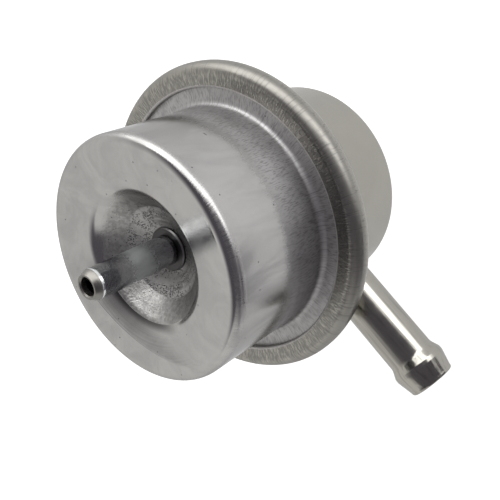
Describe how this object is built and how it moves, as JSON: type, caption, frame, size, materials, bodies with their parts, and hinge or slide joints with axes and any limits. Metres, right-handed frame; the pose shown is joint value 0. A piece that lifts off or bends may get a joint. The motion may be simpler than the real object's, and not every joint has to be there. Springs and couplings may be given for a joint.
{
  "type": "fuel pressure regulator",
  "caption": "Round pressed-steel diaphragm fuel pressure regulator with a crimped rim, a vacuum nipple in a dished face, a side inlet tail and an axial return tail.",
  "frame": {"origin": "centre of the crimped rim's straight band, on the axis of the housings", "axes": "+Z along the axis towards the vacuum nipple, +X along the inlet tail, away from the axis"},
  "size_m": [0.0677, 0.0522, 0.0718],
  "materials": {
    "plated_steel": "satin zinc plate",
    "bright_steel": "bright zinc plate",
    "spring_steel": "oiled",
    "bare_steel": "pressed",
    "polished_steel": "polished",
    "brass": "turned",
    "rubber_cloth": "matte, woven"
  },
  "bodies": {
    "housing": {"spring_housing": "plated_steel", "fuel_housing": "plated_steel", "vacuum_nipple": "bright_steel", "inlet_tail": "bright_steel", "return_tail": "bright_steel", "valve_seat": "brass", "main_spring": "spring_steel", "diaphragm": "rubber_cloth"},
    "valve": {"spring_plate": "bare_steel", "support_plate": "bare_steel", "valve_holder": "brass", "ball_spring": "spring_steel", "valve_ball": "polished_steel", "ball_retainer": "bare_steel", "valve_disc": "polished_steel"}
  },
  "joints": [
    {"name": "valve_lift", "type": "slide", "parent": "housing", "child": "valve", "axis": [0, 0, 1], "range_m": [0, 0.0006], "stiffness_N_per_m": 17500, "deforming": ["main_spring", "diaphragm"]}
  ]
}
